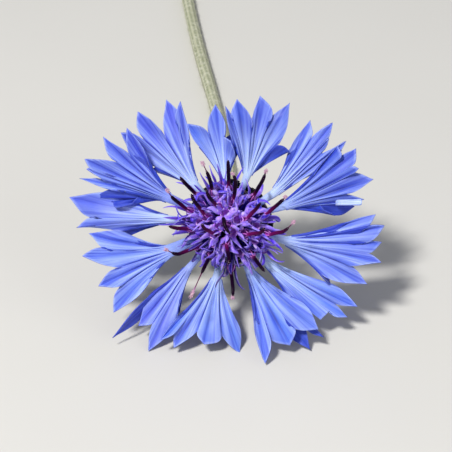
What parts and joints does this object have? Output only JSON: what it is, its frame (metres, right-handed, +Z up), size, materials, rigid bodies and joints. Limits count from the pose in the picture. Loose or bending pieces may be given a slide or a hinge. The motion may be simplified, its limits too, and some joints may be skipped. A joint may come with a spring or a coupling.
{
  "type": "cornflower",
  "caption": "A picked cornflower lying on a surface: a blue fringed head of trumpet florets round a violet disc, on scaly bracts and a bare curved stem.",
  "frame": {"origin": "on the surface that the flower lies on, under the middle of its box", "axes": "+Z up from the surface; -Y to the side that the flower's face looks to, slanting up; +Y along the lying stem to its cut end"},
  "size_m": [0.0406, 0.105, 0.0291],
  "materials": {
    "ray_floret_blue": "satin",
    "disc_corolla_violet": "satin",
    "anther_maroon": "satin",
    "bract_green": "matte",
    "stem_grey_green": "matte"
  },
  "bodies": {
    "root": {"anther_column_01": "anther_maroon", "anther_column_02": "anther_maroon", "anther_column_03": "anther_maroon", "anther_column_04": "anther_maroon", "anther_column_05": "anther_maroon", "anther_column_06": "anther_maroon", "anther_column_07": "anther_maroon", "anther_column_08": "anther_maroon", "anther_column_09": "anther_maroon", "anther_column_10": "anther_maroon", "anther_column_11": "anther_maroon", "anther_column_12": "anther_maroon", "anther_column_13": "anther_maroon", "anther_column_14": "anther_maroon", "anther_column_15": "anther_maroon", "anther_column_16": "anther_maroon", "anther_column_17": "anther_maroon", "anther_column_18": "anther_maroon", "anther_column_19": "anther_maroon", "anther_column_20": "anther_maroon", "bract_row_1": "bract_green", "bract_row_2": "bract_green", "bract_row_3": "bract_green", "bract_row_4": "bract_green", "bract_row_5": "bract_green", "disc_corolla_01": "disc_corolla_violet", "disc_corolla_02": "disc_corolla_violet", "disc_corolla_03": "disc_corolla_violet", "disc_corolla_04": "disc_corolla_violet", "disc_corolla_05": "disc_corolla_violet", "disc_corolla_06": "disc_corolla_violet", "disc_corolla_07": "disc_corolla_violet", "disc_corolla_08": "disc_corolla_violet", "disc_corolla_09": "disc_corolla_violet", "disc_corolla_10": "disc_corolla_violet", "disc_corolla_11": "disc_corolla_violet", "disc_corolla_12": "disc_corolla_violet", "disc_corolla_13": "disc_corolla_violet", "disc_corolla_14": "disc_corolla_violet", "disc_corolla_15": "disc_corolla_violet", "disc_corolla_16": "disc_corolla_violet", "disc_corolla_17": "disc_corolla_violet", "disc_corolla_18": "disc_corolla_violet", "disc_corolla_19": "disc_corolla_violet", "disc_corolla_20": "disc_corolla_violet", "ray_floret_01": "ray_floret_blue", "ray_floret_02": "ray_floret_blue", "ray_floret_03": "ray_floret_blue", "ray_floret_04": "ray_floret_blue", "ray_floret_05": "ray_floret_blue", "ray_floret_06": "ray_floret_blue", "ray_floret_07": "ray_floret_blue", "ray_floret_08": "ray_floret_blue", "ray_floret_09": "ray_floret_blue", "ray_floret_10": "ray_floret_blue", "ray_floret_11": "ray_floret_blue", "ray_floret_12": "ray_floret_blue", "ray_floret_13": "ray_floret_blue", "stem_and_receptacle": "stem_grey_green"}
  },
  "joints": []
}
